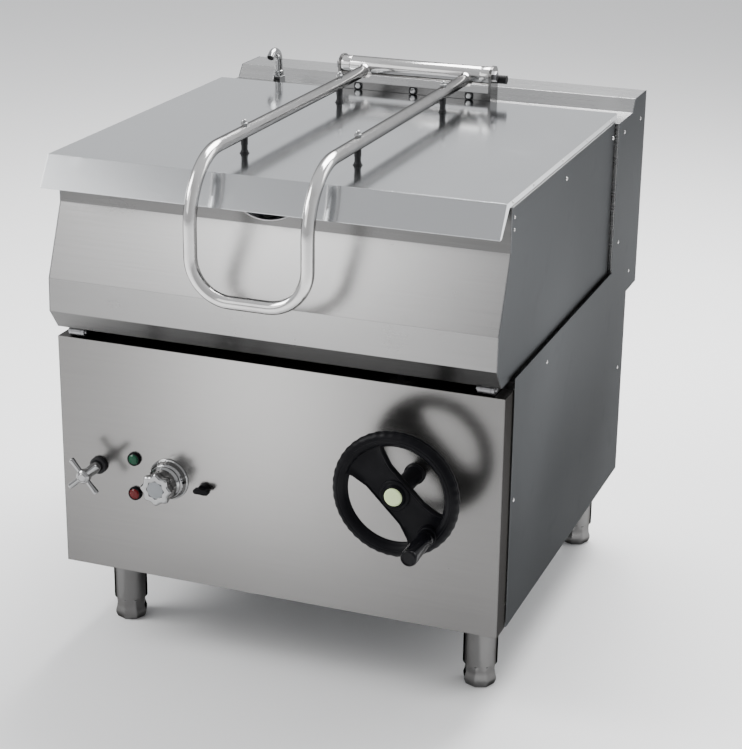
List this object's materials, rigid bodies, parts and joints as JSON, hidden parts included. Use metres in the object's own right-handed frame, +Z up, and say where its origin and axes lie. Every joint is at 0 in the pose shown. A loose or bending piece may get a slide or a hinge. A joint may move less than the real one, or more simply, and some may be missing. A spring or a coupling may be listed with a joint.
{
  "type": "tilting skillet",
  "caption": "Floor-standing tilting skillet: a lidded rectangular cooking pan that a cranked handwheel tips forward on a sheet steel cabinet.",
  "frame": {"origin": "on the floor, at the middle of the overall width and depth", "axes": "+X to the right seen from the front, +Y to the rear, +Z up"},
  "size_m": [0.8, 1.046, 0.951],
  "materials": {
    "panel_steel": "brushed stainless steel",
    "frame_steel": "grey coated steel",
    "machined_steel": "machined steel",
    "insulation": "mineral wool board",
    "black_rubber": "black rubber",
    "bronze": "plain bronze",
    "black_plastic": "black moulded plastic",
    "cap_plastic": "pale green moulded plastic",
    "chrome": "bright chrome plating",
    "grey_plastic": "grey moulded plastic",
    "green_lens": "green lens",
    "red_lens": "red lens",
    "bright_tube": "polished stainless tube",
    "gland_plastic": "black nylon"
  },
  "bodies": {
    "cabinet": {"front_panel": "panel_steel", "side_panel_left": "panel_steel", "side_panel_right": "panel_steel", "column_cover": "panel_steel", "rear_panel": "panel_steel", "column_back": "panel_steel", "bottom_panel": "panel_steel", "base_frame": "frame_steel", "leg_sleeves": "panel_steel", "tilt_hinge_brackets": "machined_steel", "pan_rest_pads": "black_rubber", "shaft_bushes": "bronze", "gear_bracket": "frame_steel", "drive_boss": "black_plastic", "thermostat_collar": "chrome", "thermostat_body": "grey_plastic", "lamp_lens_green": "green_lens", "lamp_lens_red": "red_lens", "lamp_bezels": "black_plastic", "switch_body": "grey_plastic", "water_valve": "chrome", "spout_fitting": "chrome", "water_pipe": "machined_steel", "inlet_pipe": "bronze", "terminal_box": "grey_plastic", "cable_gland": "gland_plastic"},
    "pan": {"cooking_vessel": "panel_steel", "pan_fascia": "panel_steel", "pan_side_left": "panel_steel", "pan_side_right": "panel_steel", "pan_base_cover": "panel_steel", "heating_elements": "machined_steel", "insulation_board": "insulation", "pan_hinge_knuckles": "machined_steel", "tilt_quadrant": "machined_steel", "lid_hinge_bracket": "panel_steel", "lid_hinge_axle": "machined_steel", "lid_stop_buffer": "black_rubber"},
    "lid": {"lid_shell": "panel_steel", "lid_liner": "panel_steel", "lid_handle": "bright_tube", "lid_hinge_tube": "bright_tube", "hinge_bushes": "bronze", "handle_posts": "black_rubber", "acorn_nuts": "chrome"},
    "handwheel_drive": {"handwheel": "black_plastic", "hub_cap": "cap_plastic", "worm_shaft": "machined_steel", "crank_spindle": "machined_steel"},
    "grip": {"crank_grip": "black_plastic"},
    "cross_shaft": {"worm_wheel": "bronze", "pinion_shaft": "machined_steel"},
    "valve_cross": {"valve_handle": "chrome"},
    "thermostat": {"thermostat_knob": "chrome"},
    "rotary_switch": {"switch_knob": "black_plastic"},
    "spout": {"water_spout": "chrome"},
    "front_left_foot": {"foot_front_left": "panel_steel"},
    "front_right_foot": {"foot_front_right": "panel_steel"},
    "rear_left_foot": {"foot_rear_left": "panel_steel"},
    "rear_right_foot": {"foot_rear_right": "panel_steel"}
  },
  "joints": [
    {"name": "pan_tilt", "type": "hinge", "parent": "cabinet", "child": "pan", "pos_m": [0, -0.322, 0.5795], "axis": [1, 0, 0], "range_deg": [0, 75]},
    {"name": "lid_hinge", "type": "hinge", "parent": "pan", "child": "lid", "pos_m": [0, 0.348, 0.933], "axis": [-1, 0, 0], "range_deg": [0, 80]},
    {"name": "cross_shaft_turn", "type": "hinge", "parent": "cabinet", "child": "cross_shaft", "pos_m": [0.202, -0.03016, 0.51], "axis": [1, 0, 0], "range_deg": [-437, 0]},
    {"name": "handwheel_turn", "type": "hinge", "parent": "cabinet", "child": "handwheel_drive", "pos_m": [0.25, -0.422, 0.42], "axis": [0, 1, 0], "range_deg": [0, 7419]},
    {"name": "crank_grip_spin", "type": "hinge", "parent": "handwheel_drive", "child": "grip", "pos_m": [0.30798, -0.472, 0.36202], "axis": [0, -1, 0], "continuous": true},
    {"name": "water_valve_turn", "type": "hinge", "parent": "cabinet", "child": "valve_cross", "pos_m": [-0.328, -0.387, 0.343], "axis": [0, -1, 0], "range_deg": [0, 720]},
    {"name": "thermostat_turn", "type": "hinge", "parent": "cabinet", "child": "thermostat", "pos_m": [-0.194, -0.362, 0.338], "axis": [0, -1, 0], "range_deg": [-270, 0]},
    {"name": "switch_turn", "type": "hinge", "parent": "cabinet", "child": "rotary_switch", "pos_m": [-0.127, -0.342, 0.331], "axis": [0, -1, 0], "range_deg": [-90, 0]},
    {"name": "spout_swivel", "type": "hinge", "parent": "cabinet", "child": "spout", "pos_m": [-0.297, 0.384, 0.892], "axis": [0, 0, 1], "range_deg": [-90, 90]},
    {"name": "front_left_foot_height", "type": "slide", "parent": "cabinet", "child": "front_left_foot", "axis": [0, 0, -1], "range_m": [0, 0.03]},
    {"name": "front_right_foot_height", "type": "slide", "parent": "cabinet", "child": "front_right_foot", "axis": [0, 0, -1], "range_m": [0, 0.03]},
    {"name": "rear_left_foot_height", "type": "slide", "parent": "cabinet", "child": "rear_left_foot", "axis": [0, 0, -1], "range_m": [0, 0.03]},
    {"name": "rear_right_foot_height", "type": "slide", "parent": "cabinet", "child": "rear_right_foot", "axis": [0, 0, -1], "range_m": [0, 0.03]}
  ],
  "couplings": [
    {"joint": "cross_shaft_turn", "follows": "pan_tilt", "ratio": -5.8182},
    {"joint": "handwheel_turn", "follows": "pan_tilt", "ratio": 98.909}
  ]
}
